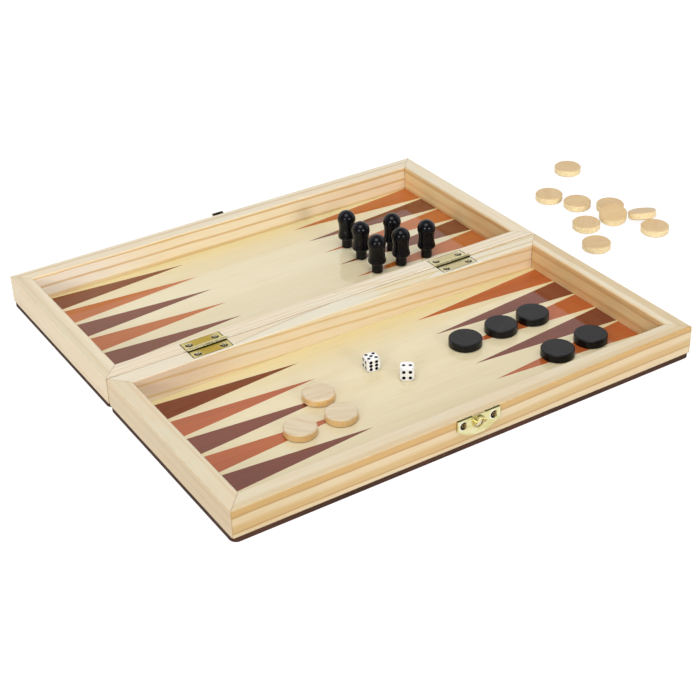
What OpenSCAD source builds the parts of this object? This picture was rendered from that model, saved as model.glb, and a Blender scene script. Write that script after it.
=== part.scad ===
// Games compendium box, lying open: two mitred trays joined by two butt hinges, a catch with a
// raised collar on the front tray and a swinging hasp on the rear one, backgammon points inlaid in
// both floors, a chequerboard inlaid underneath, and the draughts, pawns and dice laid out.
// The origin is on the table at the middle of the seam. X runs along the hinges, the front tray
// is on the -Y side. The rear tray is the front one turned half a turn about Z.

/* [Trays] */
// Length of the box along the hinge line
box_l = 290; // [240:1:360]
// Depth of one tray from the seam to its outer face
tray_w = 139.3; // [128:0.1:180]
// Height of one tray, panel and rails together
tray_h = 19.2; // [18.4:0.1:30]
// Width of the outer rail
rail_w = 11.4; // [10:0.1:14]
// Width of the rail that carries the hinges
hinge_rail_w = 10.7; // [10:0.1:14]
// Width of the two short side rails
side_w = 10.5; // [7:0.1:14]
// Thickness of the floor panel
panel_t = 3; // [2.4:0.1:4]
// Gap between the two trays along the seam
seam_gap = 0.3; // [0.2:0.05:0.8]
// Gap left between the two rims when the box is shut
rim_gap = 0.3; // [0.2:0.05:0.6]
// Corner radius of the rails, seen from above
rail_corner_r = 1.2; // [0.6:0.1:3]
// Corner radius of the floor panel, seen from above
panel_corner_r = 4; // [2:0.1:8]
// Chamfer along the top edges of the rails
rail_chamfer = 0.5; // [0.2:0.05:1]

/* [Inlays] */
// Depth of every inlay
inlay_t = 0.4; // [0.3:0.05:0.8]
// Bare strip of floor between the hinge rail and the nearest point
point_margin = 3.1; // [1:0.1:5]
// Share of the distance between two points that a point's base fills
point_fill = 0.94; // [0.8:0.01:0.98]
// Distance from the middle of the board to a point's tip
point_tip_x = 40; // [30:0.5:60]
// Bare border outside the chequerboard underneath
square_border = 9.3; // [6:0.1:20]
// Play around one dark square, each side
square_play = 0.05; // [0.02:0.01:0.2]

/* [Hinges] */
// Distance from the middle of the box to the left-hand hinge
hinge_left_x = 84.5; // [60:0.5:100]
// Distance from the middle of the box to the right-hand hinge
hinge_right_x = 82; // [60:0.5:100]
// Length of a hinge along its pin
hinge_l = 24.5; // [21:0.5:36]
// Thickness of a leaf
leaf_t = 0.9; // [0.6:0.05:1.4]
// Reach of a leaf from the pin's axis
leaf_reach = 8.9; // [8:0.1:9.5]
// Radius of the knuckles
knuckle_r = 1.4; // [1.2:0.05:1.6]
// Gap between two neighbouring knuckles
knuckle_gap = 0.12; // [0.05:0.01:0.3]
// Radius of a hinge pin
hinge_pin_r = 0.68; // [0.5:0.01:0.8]
// Space left around the knuckles, in the rails and beside the other leaf
knuckle_space = 0.25; // [0.2:0.05:0.4]
// Distance from the hinge's centre to a screw, along the pin
hinge_screw_x = 8.1; // [6:0.1:9]
// Distance from the pin's axis to a screw
hinge_screw_y = 5.4; // [4.5:0.1:6]
// Head radius of a hinge screw
hinge_screw_head_r = 2.1; // [1.4:0.05:2.3]
// Shank radius of every screw
screw_shank_r = 0.85; // [0.6:0.05:1]
// Length of every screw
screw_l = 6; // [4.5:0.1:8]

/* [Fits] */
// Play on the radius where a hinge turns on its pin
run_fit = 0.05; // [0.02:0.01:0.08]
// Play on the radius where a pin or a screw is held
held_fit = 0.02; // [0.01:0.01:0.04]
// Play around a leaf let into its rail
let_in_fit = 0.1; // [0.05:0.05:0.2]

/* [Catch] */
// Place of the catch and of the hasp along the box, from its middle
lock_x = -2.2; // [-6:0.1:6]
// Width of the catch plate
catch_w = 26.8; // [24:0.1:32]
// Distance from the rim down to the catch plate's top edge
catch_drop = 0.15; // [0.1:0.05:0.6]
// Height of the catch plate
catch_h = 11.4; // [10.8:0.1:12.5]
// Length of the straight ends of the catch plate
catch_end = 6; // [5:0.1:7]
// How far the catch plate stands off the rail
catch_depth = 1.3; // [1.1:0.05:1.4]
// Sheet thickness of the catch plate
catch_sheet = 0.6; // [0.4:0.05:0.8]
// Width of the gap in the plate's turned top lip, above the collar
lip_gap_w = 6.6; // [4:0.1:8]
// Distance from the middle of the catch to a screw
catch_screw_x = 9.55; // [9:0.05:10]
// Distance from the rim down to the catch screws
catch_screw_drop = 3.8; // [3.6:0.1:4.4]
// Radius of the sunk mouth around a catch screw
catch_mouth_r = 2.35; // [2:0.05:2.5]
// Radius of the window inside the collar
window_r = 3.1; // [2.9:0.05:3.3]
// Outer radius of the collar
collar_r = 3.9; // [3.6:0.05:4]
// Distance from the rim down to the top of the collar
collar_drop = 1; // [1:0.05:1.2]
// How far the collar stands off the plate above the slant
collar_proud = 2.4; // [1.8:0.1:2.6]
// Distance from the window's centre down to where the slanted edge meets the plate
collar_low = 1.5; // [1.4:0.1:2]
// Distance from the window's centre up to where the slanted edge ends
collar_high = 1.7; // [1.4:0.1:2.6]

/* [Hasp] */
// Distance from the rim down to the hasp's pin when the box is open
hasp_drop = 1.3; // [1.2:0.05:1.4]
// Distance from the rail to the hasp's pin
hasp_off = 2.2; // [2.1:0.05:2.5]
// Radius of the hasp's knuckles
hasp_knuckle_r = 1.5; // [1.3:0.05:1.55]
// Radius of the hasp's pin
hasp_pin_r = 0.7; // [0.5:0.02:0.8]
// Length of the hasp's knuckles together
hasp_knuckle_l = 7; // [6:0.1:9]
// Length of the knuckle on the swinging flap
flap_knuckle_l = 3.6; // [3:0.1:4]
// Gap between the flap's knuckle and an ear
ear_gap = 0.1; // [0.05:0.01:0.2]
// Width of the hasp's plate
hasp_plate_w = 22; // [20:0.5:28]
// Height of the hasp's plate
hasp_plate_h = 8.8; // [8:0.1:10]
// Corner radius of the hasp's plate
hasp_corner_r = 1.6; // [0.8:0.1:2]
// Sheet thickness of the plate and of the flap
hasp_sheet = 0.8; // [0.5:0.05:0.9]
// Distance from the middle of the hasp to a screw
hasp_screw_x = 8; // [7.5:0.1:9]
// Head radius of a hasp screw
hasp_screw_head_r = 1.7; // [1.4:0.05:2]
// Radius of the flap's round head
flap_r = 6; // [5.8:0.1:6.2]
// Distance from the pin to the centre of the flap's head
flap_reach = 4.6; // [4.4:0.1:4.8]
// Width of the slot that drops over the collar
slot_w = 8.4; // [8.3:0.1:8.7]
// Distance from the pin to the slot's near end
slot_near = 2.3; // [2.2:0.05:2.35]
// Distance from the pin to the slot's far end
slot_far = 7.7; // [7.65:0.05:7.9]

/* [Draughts] */
// Diameter of a pale draught
draught_d = 18.1; // [14:0.1:18.3]
// Thickness of a pale draught
draught_t = 4.8; // [4:0.1:5.5]
// Diameter of a black draught
black_draught_d = 19.2; // [16:0.1:20]
// Thickness of a black draught
black_draught_t = 5.1; // [4:0.1:5.5]
// Chamfer around a draught
draught_chamfer = 0.6; // [0.2:0.05:1]
// Tilt of a draught that leans on its neighbour
lean_deg = 16.5; // [15:0.5:18]

/* [Pawns] */
// Height of the centre of a pawn's ball
pawn_ball_z = 19.5; // [18:0.1:21]
// Radius of a pawn's ball and of the bulge below its waist
pawn_ball_r = 5.7; // [5.3:0.05:6]
// Radius of the waist
pawn_waist_r = 4.95; // [4.6:0.05:5.1]
// Height of the middle of the bulge
pawn_bulge_z = 7.9; // [7.6:0.1:8.6]
// Radius of the rounding of the bulge
pawn_bulge_round = 1.8; // [1.4:0.1:2.2]
// Radius of the foot
pawn_foot_r = 3.45; // [2.8:0.05:4]

/* [Dice] */
// Edge length of a die
die_side = 8; // [7:0.5:9]
// Chamfer along the edges of a die
die_chamfer = 0.35; // [0.2:0.05:0.6]
// Radius of a pip
pip_r = 0.94; // [0.5:0.02:0.98]
// Distance from the middle of a face to an outer pip of a three or a five, along each side
pip_step = 2.15; // [1.9:0.05:2.4]
// The same distance on a two, and along each side on a four
pip_near = 1.8; // [1.6:0.05:2.2]
// Distance from the middle of a six to each of its two columns
pip_column = 1.65; // [1.4:0.05:2]
// Distance between two rows of a six
pip_row = 2.2; // [2:0.05:2.5]
// Depth of a drilled pip
pip_depth = 0.4; // [0.35:0.05:0.6]
// Thickness of the paint in a pip
pip_paint = 0.3; // [0.1:0.05:0.3]

/* [Hidden] */
$fn = 72;

// Colours for the preview
pine = [0.93, 0.82, 0.62];
pale_wood = [0.94, 0.86, 0.68];
brown_wood = [0.45, 0.25, 0.18];
orange_wood = [0.74, 0.38, 0.20];
metal = [0.83, 0.72, 0.38];
black_stain = [0.07, 0.07, 0.08];
bare_wood = [0.93, 0.83, 0.64];
ivory = [0.95, 0.94, 0.90];

// Half the outline, and the part of the gap on each side of the seam
half_l = box_l / 2;
seam = seam_gap / 2;
inner_x = half_l - side_w;
hinge_z = tray_h + rim_gap / 2;
leaf_z = tray_h - leaf_t;
hinge_spots = [-hinge_left_x, hinge_right_x];
knuckle_l = (hinge_l - 3 * knuckle_gap) / 4;
knuckle_clear = knuckle_r + knuckle_space;

// The inlays: six points fill the floor's depth, and four squares one tray
floor_near = seam + hinge_rail_w + point_margin;
point_pitch = (tray_w - rail_w - floor_near) / (5 + point_fill);
point_base = point_pitch * point_fill;
point_first = floor_near + point_base / 2;
square_side = (min(tray_w, half_l) - square_border) / 4;

// The catch: its plate has a round lower edge, and the window stands at the collar's centre
catch_top = tray_h - catch_drop;
catch_bottom = catch_top - catch_h;
catch_rise = catch_h - catch_end;
catch_arc_r = (catch_rise * catch_rise + catch_w * catch_w / 4) / (2 * catch_rise);
catch_arc_z = catch_bottom + catch_arc_r;
catch_screw_z = tray_h - catch_screw_drop;
catch_hole_r = screw_shank_r + 0.1;
catch_sink = catch_depth * 0.7;
catch_cone = catch_mouth_r - catch_hole_r;
catch_head_r = catch_hole_r + catch_cone * 0.7;
window_z = tray_h - collar_drop - collar_r;

// The hasp
hasp_z = tray_h - hasp_drop;
ear_x = flap_knuckle_l / 2 + ear_gap;
ear_l = hasp_knuckle_l / 2 - ear_x;
hasp_plate_top = hasp_z - 1;
hasp_screw_z = hasp_plate_top - hasp_plate_h / 2;
flap_start = hasp_knuckle_r + 0.2;

// The waist of a pawn is one arc, a little flatter than the one that would just touch the ball
// and the bulge, so that it meets both at a faint edge
waist_flatten = 1.04;
pawn_swell = pawn_ball_r - pawn_waist_r;
pawn_bulge_x = pawn_ball_r - pawn_bulge_round;
waist_span = pawn_ball_z - pawn_bulge_z;
waist_u = (waist_span + pawn_swell * (pawn_ball_r - pawn_bulge_round + pawn_bulge_x) / waist_span) / 2;
waist_r = waist_flatten * (waist_u * waist_u / pawn_swell - pawn_ball_r - pawn_waist_r) / 2;
waist_z = pawn_ball_z - waist_u;
waist_x = pawn_waist_r + waist_r;
waist_top = pawn_ball_z - waist_u * pawn_ball_r / (waist_r + pawn_ball_r);
waist_low = pawn_bulge_z + (waist_z - pawn_bulge_z) * pawn_bulge_round / (waist_r + pawn_bulge_round);

// Where the pieces stand. In a tray: share of the half length and of the depth. On the table:
// distance from the right-hand side of the box, and distance from the seam.
black_draught_at = [[0.328, -0.437], [0.505, -0.433], [0.663, -0.432], [0.572, -0.713], [0.743, -0.705]];
pale_draught_at = [[-0.342, -0.434], [-0.341, -0.598], [-0.512, -0.594]];
pawn_at = [[0.395, 0.571], [0.387, 0.439], [0.376, 0.291], [0.540, 0.426], [0.495, 0.285], [0.625, 0.282]];
die_at = [[-0.067, -0.367], [0.0084, -0.505]];
die_turn = [-11, -34];
table_at = [
    [100.1, 88.4], [62.1, 61.8], [70.4, 42.4], [85.2, 26.5], [55.1, 14.9], [87.3, -14.6], [42.2, -10.2]
];
// Which way each of the two leaning draughts rises, and which of the lying ones carries it
lean_dir = [[0.573, 0.819], [-0.242, -0.970]];
lean_on = [3, 5];
// Clearance along the table between a leaning draught and the one under it
lean_gap = 0.1;
// Counts of the dice on their top, bottom, front, back, right and left faces
die_counts = [[5, 2, 6, 1, 3, 4], [2, 5, 4, 3, 6, 1]];

function tray_spot(share) = [share[0] * half_l, share[1] * tray_w, panel_t];
function table_spot(at) = [half_l + at[0], at[1], 0];
// Distance between the centre of a lying draught and the middle of the one that leans on it
function lean_distance(tilt) =
    draught_t / tan(tilt) + (draught_d / 2 - draught_chamfer) * (1 - cos(tilt)) + lean_gap;

// Turns a piece of the front tray into its twin on the rear one
module rear_side() {
    rotate([0, 0, 180]) children();
}

// A slab with the plan of one tray and round corners
module tray_slab(z0, z1, r) {
    depth = tray_w - seam;
    translate([0, 0, z0]) {
        translate([-half_l + r, -tray_w, 0]) cube([box_l - 2 * r, depth, z1 - z0]);
        translate([-half_l, -tray_w + r, 0]) cube([box_l, depth - 2 * r, z1 - z0]);
        for (x = [-half_l + r, half_l - r], y = [-tray_w + r, -seam - r])
            translate([x, y, 0]) cylinder(r = r, h = z1 - z0);
    }
}

module rail_section(w) {
    h = tray_h - panel_t;
    c = rail_chamfer;
    polygon([[0, 0], [w, 0], [w, h - c], [w - c, h], [c, h], [0, h - c]]);
}

module mitre_plan(points) {
    translate([0, 0, panel_t]) linear_extrude(tray_h - panel_t) polygon(points);
}

module long_bar(y, w) {
    translate([-half_l, y, panel_t]) rotate([90, 0, 90]) linear_extrude(box_l) rail_section(w);
}

module outer_rail() {
    intersection() {
        long_bar(-tray_w, rail_w);
        mitre_plan([
            [-half_l, -tray_w], [half_l, -tray_w],
            [inner_x, -tray_w + rail_w], [-inner_x, -tray_w + rail_w]
        ]);
        tray_slab(panel_t, tray_h, rail_corner_r);
    }
}

module plain_hinge_rail() {
    intersection() {
        long_bar(-seam - hinge_rail_w, hinge_rail_w);
        mitre_plan([
            [-half_l, -seam], [half_l, -seam],
            [inner_x, -seam - hinge_rail_w], [-inner_x, -seam - hinge_rail_w]
        ]);
        tray_slab(panel_t, tray_h, rail_corner_r);
    }
}

// Side -1 is the left-hand rail and side 1 the right-hand one
module side_rail(s) {
    intersection() {
        translate([s < 0 ? -half_l : inner_x, -tray_w, tray_h])
            rotate([-90, 0, 0]) linear_extrude(tray_w)
            translate([0, tray_h - panel_t]) mirror([0, 1]) rail_section(side_w);
        mitre_plan([
            [s * half_l, -tray_w], [s * half_l, -seam],
            [s * inner_x, -seam - hinge_rail_w], [s * inner_x, -tray_w + rail_w]
        ]);
        tray_slab(panel_t, tray_h, rail_corner_r);
    }
}

// The rail with its seats for the hinges. Hand -1 is for the rear tray, where it is turned round.
module hinge_rail(hand) {
    half = hinge_l / 2 + let_in_fit;
    difference() {
        plain_hinge_rail();
        for (x = hinge_spots) translate([hand * x, 0, 0]) {
            translate([-half, -leaf_reach - let_in_fit, leaf_z])
                cube([2 * half, leaf_reach + let_in_fit + 1, leaf_t + 1]);
            translate([-half, 0, hinge_z]) rotate([0, 90, 0])
                cylinder(r = knuckle_clear, h = 2 * half);
            for (t = [-1, 1]) translate([t * hinge_screw_x, -hinge_screw_y, tray_h - 0.05])
                screw_hole(hinge_screw_head_r, screw_l + 0.3);
        }
    }
}

module point(k, s) {
    y = -(point_first + k * point_pitch);
    polygon([
        [s * inner_x, y - point_base / 2], [s * inner_x, y + point_base / 2],
        [s * point_tip_x, y]
    ]);
}

// Shade 0 is the one that has the point nearest the seam on the left-hand side
module points_inlay(shade) {
    translate([0, 0, panel_t - inlay_t]) linear_extrude(inlay_t)
        for (k = [0:5], s = [-1, 1])
            if ((k + (s > 0 ? 1 : 0)) % 2 == shade) point(k, s);
}

module squares_inlay() {
    p = square_play;
    linear_extrude(inlay_t) intersection() {
        union() {
            for (i = [-4:3], j = [0:3]) if ((i + j + 4) % 2 == 0)
                translate([i * square_side + p, -(j + 1) * square_side + p])
                square([square_side - 2 * p, square_side - 2 * p + (j == 0 ? 1 : 0)]);
        }
        translate([-half_l, -tray_w]) square([box_l, tray_w - seam]);
    }
}

module panel() {
    difference() {
        tray_slab(0, panel_t, panel_corner_r);
        points_inlay(0);
        points_inlay(1);
        squares_inlay();
    }
}

// Moves a hinge piece to the left-hand hinge, number 0, or to the right-hand one, number 1
module at_hinge(i) {
    translate([hinge_spots[i], 0, 0]) children();
}

// A countersunk screw that points down from a head whose top is at the origin
module screw(head_r, length) {
    cone = head_r - screw_shank_r;
    difference() {
        rotate_extrude() polygon([
            [0, 0], [head_r, 0], [head_r, -0.08], [screw_shank_r, -0.08 - cone],
            [screw_shank_r, -length + 1.2], [0.15, -length], [0, -length]
        ]);
        for (a = [0, 90]) rotate([0, 0, a])
            translate([-head_r * 0.62, -0.24, -0.55]) cube([head_r * 1.24, 0.48, 1]);
    }
}

module screw_hole(head_r, length) {
    cone = head_r - screw_shank_r;
    f = held_fit;
    rotate_extrude() polygon([
        [0, 1], [head_r + f, 1], [head_r + f, -0.08], [screw_shank_r + f, -0.08 - cone],
        [screw_shank_r + f, -length], [0, -length]
    ]);
}

// The fixed leaf of a butt hinge, with two of its four knuckles
module front_leaf() {
    difference() {
        union() {
            translate([-hinge_l / 2, -leaf_reach, leaf_z])
                cube([hinge_l, leaf_reach - knuckle_clear, leaf_t]);
            for (i = [0, 2]) translate([-hinge_l / 2 + i * (knuckle_l + knuckle_gap), 0, 0]) {
                translate([0, -knuckle_clear - 1, leaf_z]) cube([knuckle_l, knuckle_clear + 1, leaf_t]);
                translate([0, 0, hinge_z]) rotate([0, 90, 0]) cylinder(r = knuckle_r, h = knuckle_l);
            }
        }
        translate([-hinge_l, 0, hinge_z]) rotate([0, 90, 0])
            cylinder(r = hinge_pin_r + held_fit, h = 2 * hinge_l);
        for (t = [-1, 1]) translate([t * hinge_screw_x, -hinge_screw_y, tray_h - 0.05])
            screw_hole(hinge_screw_head_r, screw_l);
    }
}

module rear_leaf() {
    difference() {
        rear_side() front_leaf();
        translate([-hinge_l, 0, hinge_z]) rotate([0, 90, 0])
            cylinder(r = hinge_pin_r + run_fit, h = 2 * hinge_l);
    }
}

module hinge_pin() {
    translate([-hinge_l / 2, 0, hinge_z]) rotate([0, 90, 0]) cylinder(r = hinge_pin_r, h = hinge_l);
}

module hinge_screws(hand) {
    for (i = [0, 1], t = [-1, 1])
        translate([hand * hinge_spots[i] + t * hinge_screw_x, -hinge_screw_y, tray_h - 0.05])
        rotate([0, 0, 100 * i - 30 + 25 * t]) screw(hinge_screw_head_r, screw_l);
}

// Outline of the catch plate, drawn in X and Z
module catch_outline(inset) {
    intersection() {
        translate([-catch_w / 2 + inset, catch_bottom - 1])
            square([catch_w - 2 * inset, catch_top - inset - catch_bottom + 1]);
        translate([0, catch_arc_z]) circle(r = catch_arc_r - inset, $fn = 144);
    }
}

// Stands a plan drawn in X and Z on the front face, from one distance off the rail to another
module on_front(from, to) {
    translate([lock_x, -tray_w - from, 0]) rotate([90, 0, 0]) linear_extrude(to - from) children();
}

module catch_spots() {
    for (s = [-1, 1]) translate([s * catch_screw_x, catch_screw_z]) children();
}

// The collar is a short tube, cut on a slant so that its lower part lies flush with the plate
module collar() {
    plate = -tray_w - catch_depth;
    difference() {
        on_front(catch_depth - catch_sheet, catch_depth + collar_proud)
            translate([0, window_z]) circle(r = collar_r);
        translate([lock_x - collar_r - 1, 0, 0]) rotate([90, 0, 90]) linear_extrude(2 * collar_r + 2)
            polygon([
                [plate, window_z - collar_low],
                [plate - collar_proud, window_z + collar_high],
                [plate - collar_proud - 1, window_z + collar_high],
                [plate - collar_proud - 1, window_z - collar_r - 1],
                [plate, window_z - collar_r - 1]
            ]);
    }
}

// A pressed shell: a front sheet with a turned lip all round, open behind
module catch_shell() {
    difference() {
        on_front(0, catch_depth) catch_outline(0);
        on_front(-1, catch_depth - catch_sheet) difference() {
            catch_outline(catch_sheet);
            catch_spots() circle(r = catch_mouth_r + 0.5);
        }
        on_front(-1, catch_depth - catch_sheet)
            translate([-lip_gap_w / 2, catch_top - 2 * catch_sheet]) square([lip_gap_w, 3 * catch_sheet]);
    }
}

module catch_plate() {
    difference() {
        union() {
            catch_shell();
            collar();
        }
        on_front(-0.5, catch_depth + collar_proud + 1) translate([0, window_z]) circle(r = window_r);
        for (s = [-1, 1]) translate([lock_x + s * catch_screw_x, -tray_w, catch_screw_z])
            rotate([90, 0, 0]) {
                cylinder(r1 = catch_hole_r, r2 = catch_mouth_r, h = catch_depth);
                translate([0, 0, -1]) cylinder(r = catch_hole_r, h = 2);
            }
    }
}

module catch_screws() {
    for (s = [-1, 1])
        translate([lock_x + s * catch_screw_x, -tray_w - catch_sink, catch_screw_z])
        rotate([90, 0, 0]) rotate([0, 0, 30 + 40 * s]) catch_screw();
}

module catch_screw() {
    head = catch_head_r - held_fit;
    difference() {
        rotate_extrude() polygon([
            [0, 0], [head, 0], [screw_shank_r + 0.08, -catch_sink],
            [screw_shank_r, -catch_sink - 0.1], [screw_shank_r, -screw_l + 1.2],
            [0.15, -screw_l], [0, -screw_l]
        ]);
        for (a = [0, 90]) rotate([0, 0, a])
            translate([-head * 0.62, -0.26, -0.55]) cube([head * 1.24, 0.52, 1]);
    }
}

module front_outer_rail() {
    difference() {
        outer_rail();
        for (s = [-1, 1]) translate([lock_x + s * catch_screw_x, -tray_w - 1, catch_screw_z])
            rotate([-90, 0, 0]) cylinder(r = catch_hole_r, h = 1 + screw_l);
    }
}

// Outline of the hasp's plate, drawn in X and Z
module hasp_plan() {
    r = hasp_corner_r;
    z0 = hasp_plate_top - hasp_plate_h;
    translate([-hasp_plate_w / 2 + r, z0]) square([hasp_plate_w - 2 * r, hasp_plate_h]);
    translate([-hasp_plate_w / 2, z0 + r]) square([hasp_plate_w, hasp_plate_h - 2 * r]);
    for (x = [-1, 1], z = [z0 + r, hasp_plate_top - r])
        translate([x * (hasp_plate_w / 2 - r), z]) circle(r = r);
}

// Stands a plan drawn in X and Z on the rear face
module on_rear(from, to) {
    translate([lock_x, tray_w + to, 0]) rotate([90, 0, 0]) linear_extrude(to - from) children();
}

module hasp_bore(r) {
    translate([lock_x - hasp_plate_w, tray_w + hasp_off, hasp_z]) rotate([0, 90, 0])
        cylinder(r = r, h = 2 * hasp_plate_w);
}

module hasp_plate() {
    difference() {
        union() {
            on_rear(0, hasp_sheet) hasp_plan();
            for (x = [-ear_x - ear_l, ear_x]) translate([lock_x + x, tray_w, 0]) {
                translate([0, hasp_off, hasp_z]) rotate([0, 90, 0])
                    cylinder(r = hasp_knuckle_r, h = ear_l);
                translate([0, 0, hasp_plate_top - 2])
                    cube([ear_l, hasp_off - hasp_knuckle_r + 0.5, hasp_z - hasp_plate_top + 2.6]);
            }
        }
        hasp_bore(hasp_pin_r + held_fit);
        for (s = [-1, 1]) translate([lock_x + s * hasp_screw_x, tray_w + hasp_sheet - 0.02, hasp_screw_z])
            rotate([-90, 0, 0]) screw_hole(hasp_screw_head_r, screw_l);
    }
}

// The flap hangs down from its pin in front of the plate
module hasp_flap() {
    difference() {
        union() {
            translate([lock_x - flap_knuckle_l / 2, tray_w + hasp_off, hasp_z]) rotate([0, 90, 0])
                cylinder(r = hasp_knuckle_r, h = flap_knuckle_l);
            on_rear(hasp_off - hasp_sheet / 2, hasp_off + hasp_sheet / 2) {
                translate([-flap_knuckle_l / 2, hasp_z - slot_near + 0.1])
                    square([flap_knuckle_l, slot_near - 0.1]);
                difference() {
                    translate([0, hasp_z - flap_reach]) circle(r = flap_r);
                    translate([-flap_r - 1, hasp_z - flap_start])
                        square([2 * flap_r + 2, flap_r + 2]);
                }
            }
        }
        on_rear(0, 2 * hasp_off)
            translate([-slot_w / 2, hasp_z - slot_far]) square([slot_w, slot_far - slot_near]);
        hasp_bore(hasp_pin_r + run_fit);
    }
}

module hasp_pin() {
    translate([lock_x - hasp_knuckle_l / 2, tray_w + hasp_off, hasp_z]) rotate([0, 90, 0])
        cylinder(r = hasp_pin_r, h = hasp_knuckle_l);
}

module hasp_screws() {
    for (s = [-1, 1]) translate([lock_x + s * hasp_screw_x, tray_w + hasp_sheet - 0.02, hasp_screw_z])
        rotate([-90, 0, 0]) rotate([0, 0, 15 + 30 * s]) screw(hasp_screw_head_r, screw_l);
}

module rear_outer_rail() {
    difference() {
        rear_side() outer_rail();
        for (s = [-1, 1]) translate([lock_x + s * hasp_screw_x, tray_w + hasp_sheet - 0.02, hasp_screw_z])
            rotate([-90, 0, 0]) screw_hole(hasp_screw_head_r, screw_l + 0.3);
    }
}

module draught(d = draught_d, t = draught_t) {
    r = d / 2;
    c = draught_chamfer;
    rotate_extrude() polygon([[0, 0], [r - c, 0], [r, c], [r, t - c], [r - c, t], [0, t]]);
}

// A draught with its lowest rim on the table, raised towards the one it leans on
module leaning_draught(i) {
    reach = draught_d / 2 - draught_chamfer;
    dir = lean_dir[i];
    translate(table_spot(table_at[lean_on[i]])) rotate([0, 0, atan2(dir[1], dir[0])])
        translate([-lean_distance(lean_deg) - reach * cos(lean_deg), 0, 0])
        rotate([0, -lean_deg, 0]) translate([reach, 0, 0]) draught();
}

module lying_draught(i) {
    translate(table_spot(table_at[i])) draught();
}

module black_draught(i) {
    translate(tray_spot(black_draught_at[i])) draught(black_draught_d, black_draught_t);
}

module pale_draught(i) {
    translate(tray_spot(pale_draught_at[i])) draught();
}

// Half the outline of a pawn: ball, waist, bulge and foot
module pawn_profile() {
    intersection() {
        union() {
            translate([0, pawn_ball_z]) circle(r = pawn_ball_r, $fn = 96);
            difference() {
                translate([0, waist_low]) square([pawn_ball_r, waist_top - waist_low]);
                translate([waist_x, waist_z]) circle(r = waist_r, $fn = 360);
            }
            translate([0, pawn_bulge_z - pawn_bulge_round])
                square([pawn_bulge_x, waist_low - pawn_bulge_z + pawn_bulge_round]);
            translate([pawn_bulge_x, pawn_bulge_z]) circle(r = pawn_bulge_round);
            polygon([
                [0, 0], [pawn_foot_r - 0.3, 0], [pawn_foot_r, 0.3],
                [pawn_foot_r, pawn_bulge_z - pawn_bulge_round - 0.4],
                [pawn_bulge_x, pawn_bulge_z - pawn_bulge_round], [0, pawn_bulge_z]
            ]);
        }
        square([2 * pawn_ball_r, pawn_ball_z + pawn_ball_r]);
    }
}

module pawn() {
    rotate_extrude() pawn_profile();
}

module standing_pawn(i) {
    translate(tray_spot(pawn_at[i])) pawn();
}

// Pips of one face as spots around its middle
module pips(count) {
    p = pip_step;
    n = pip_near;
    c = pip_column;
    r = pip_row;
    spots = count == 1 ? [[0, 0]]
        : count == 2 ? [[-n, 0], [n, 0]]
        : count == 3 ? [[-p, -p], [0, 0], [p, p]]
        : count == 4 ? [[-n, -n], [n, -n], [-n, n], [n, n]]
        : count == 5 ? [[-p, -p], [p, -p], [-p, p], [p, p], [0, 0]]
        : [[-c, -r], [-c, 0], [-c, r], [c, -r], [c, 0], [c, r]];
    for (s = spots) translate(s) children();
}

// Puts the given counts on the top, bottom, front, back, right and left faces
module die_faces(counts) {
    h = die_side / 2;
    translate([0, 0, h]) pips(counts[0]) children();
    rotate([180, 0, 0]) translate([0, 0, h]) pips(counts[1]) children();
    rotate([90, 0, 0]) translate([0, 0, h]) pips(counts[2]) children();
    rotate([-90, 0, 0]) translate([0, 0, h]) pips(counts[3]) children();
    rotate([0, 90, 0]) translate([0, 0, h]) pips(counts[4]) children();
    rotate([0, -90, 0]) translate([0, 0, h]) pips(counts[5]) children();
}

// A cube with chamfered edges and rounded corners
module die_block() {
    edge = die_side * sqrt(2) - 2 * die_chamfer / sqrt(2);
    intersection() {
        cube(die_side, center = true);
        sphere(r = die_side * 0.735);
        rotate([45, 0, 0]) cube([2 * die_side, edge, edge], center = true);
        rotate([0, 45, 0]) cube([edge, 2 * die_side, edge], center = true);
        rotate([0, 0, 45]) cube([edge, edge, 2 * die_side], center = true);
    }
}

module die(counts) {
    difference() {
        die_block();
        die_faces(counts) translate([0, 0, -pip_depth]) cylinder(r = pip_r, h = 1, $fn = 36);
    }
}

module die_pips(counts) {
    die_faces(counts) translate([0, 0, -pip_depth]) cylinder(r = pip_r, h = pip_paint, $fn = 36);
}

module die_place(i) {
    translate(tray_spot(die_at[i])) rotate([0, 0, die_turn[i]])
        translate([0, 0, die_side / 2]) children();
}

// The pieces, each under the name of its node
color(pine) front_outer_rail();
color(pine) hinge_rail(1);  // front_hinge_rail
color(pine) side_rail(-1);  // front_left_rail
color(pine) side_rail(1);  // front_right_rail
color(pale_wood) panel();  // front_panel
color(brown_wood) points_inlay(0);  // front_points_brown
color(orange_wood) points_inlay(1);  // front_points_orange
color(brown_wood) squares_inlay();  // front_chess_squares
color(pine) rear_outer_rail();
color(pine) rear_side() hinge_rail(-1);  // rear_hinge_rail
color(pine) rear_side() side_rail(1);  // rear_left_rail
color(pine) rear_side() side_rail(-1);  // rear_right_rail
color(pale_wood) rear_side() panel();  // rear_panel
color(brown_wood) rear_side() points_inlay(0);  // rear_points_brown
color(orange_wood) rear_side() points_inlay(1);  // rear_points_orange
color(brown_wood) rear_side() squares_inlay();  // rear_chess_squares
color(metal) at_hinge(0) front_leaf();  // left_hinge_front_leaf
color(metal) at_hinge(0) rear_leaf();  // left_hinge_rear_leaf
color(metal) at_hinge(0) hinge_pin();  // left_hinge_pin
color(metal) at_hinge(1) front_leaf();  // right_hinge_front_leaf
color(metal) at_hinge(1) rear_leaf();  // right_hinge_rear_leaf
color(metal) at_hinge(1) hinge_pin();  // right_hinge_pin
color(metal) hinge_screws(1);  // hinge_screws_front
color(metal) rear_side() hinge_screws(-1);  // hinge_screws_rear
color(metal) catch_plate();
color(metal) catch_screws();
color(metal) hasp_plate();
color(metal) hasp_flap();
color(metal) hasp_pin();
color(metal) hasp_screws();
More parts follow.
